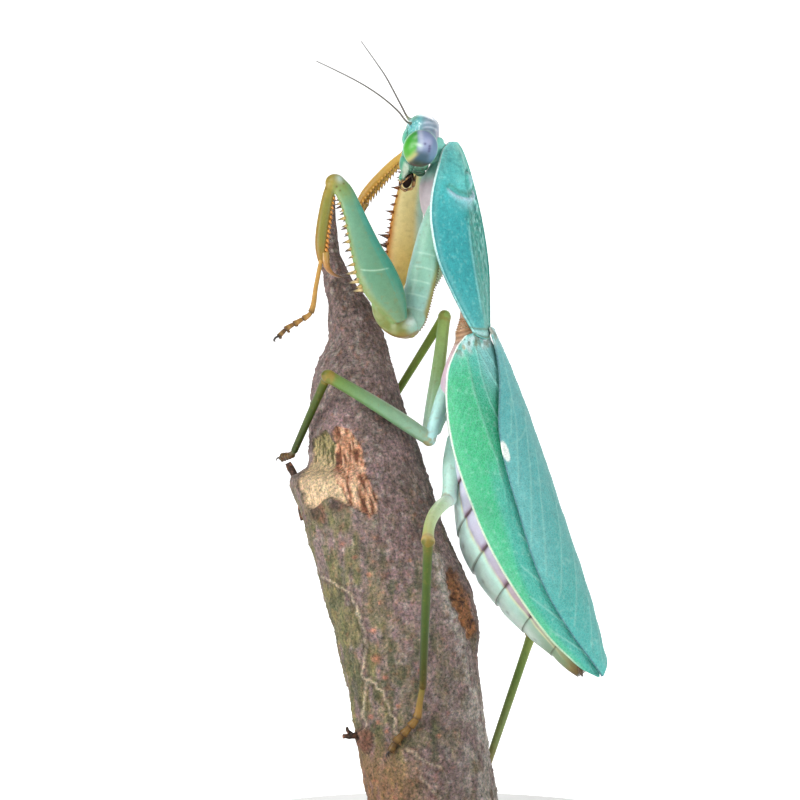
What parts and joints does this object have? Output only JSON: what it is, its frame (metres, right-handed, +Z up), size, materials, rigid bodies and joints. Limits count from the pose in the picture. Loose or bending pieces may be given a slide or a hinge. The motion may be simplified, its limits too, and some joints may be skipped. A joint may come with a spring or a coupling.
{
  "type": "praying mantis",
  "caption": "Life-size still model of an adult female giant shield mantis, head up on a broken branch, held by a flat round stand.",
  "frame": {"origin": "centre of the underside of the stand's base, on the floor", "axes": "+Z up, along the branch; +Y away from the side the animal is seen from, so its left side faces -Y; +X to the right, where its back and wing tips are"},
  "size_m": [0.08, 0.08, 0.1311],
  "materials": {
    "body_cuticle": "satin",
    "head_cuticle": "satin",
    "shield_cuticle": "satin",
    "wing_cuticle": "satin",
    "wing_membrane": "satin",
    "foreleg_cuticle": "satin",
    "leg_cuticle": "satin",
    "eye": "gloss",
    "horn": "satin",
    "bark": "rough",
    "stand": "satin"
  },
  "bodies": {
    "root": {"abdomen_1": "body_cuticle", "abdomen_2": "body_cuticle", "abdomen_3": "body_cuticle", "abdomen_4": "body_cuticle", "abdomen_5": "body_cuticle", "abdomen_6": "body_cuticle", "abdomen_tip": "body_cuticle", "antenna_left": "horn", "antenna_right": "horn", "cercus_left": "horn", "cercus_right": "horn", "eye_left": "eye", "eye_right": "eye", "fore_coxa_left": "foreleg_cuticle", "fore_coxa_right": "foreleg_cuticle", "fore_femur_left": "foreleg_cuticle", "fore_femur_right": "foreleg_cuticle", "fore_tarsus_left": "foreleg_cuticle", "fore_tarsus_right": "foreleg_cuticle", "fore_tibia_left": "foreleg_cuticle", "fore_tibia_right": "foreleg_cuticle", "head": "head_cuticle", "hind_coxa_left": "leg_cuticle", "hind_coxa_right": "leg_cuticle", "hind_femur_left": "leg_cuticle", "hind_femur_right": "leg_cuticle", "hind_tarsus_left": "leg_cuticle", "hind_tarsus_right": "leg_cuticle", "hind_tibia_left": "leg_cuticle", "hind_tibia_right": "leg_cuticle", "hindwing_left": "wing_membrane", "hindwing_right": "wing_membrane", "mandibles": "horn", "mid_coxa_left": "leg_cuticle", "mid_coxa_right": "leg_cuticle", "mid_femur_left": "leg_cuticle", "mid_femur_right": "leg_cuticle", "mid_tarsus_left": "leg_cuticle", "mid_tarsus_right": "leg_cuticle", "mid_tibia_left": "leg_cuticle", "mid_tibia_right": "leg_cuticle", "neck": "head_cuticle", "perch": "bark", "pronotum": "shield_cuticle", "prothorax": "body_cuticle", "stand_base": "stand", "stand_rod": "stand", "tegmen_left": "wing_cuticle", "tegmen_right": "wing_cuticle", "thorax": "body_cuticle"}
  },
  "joints": []
}
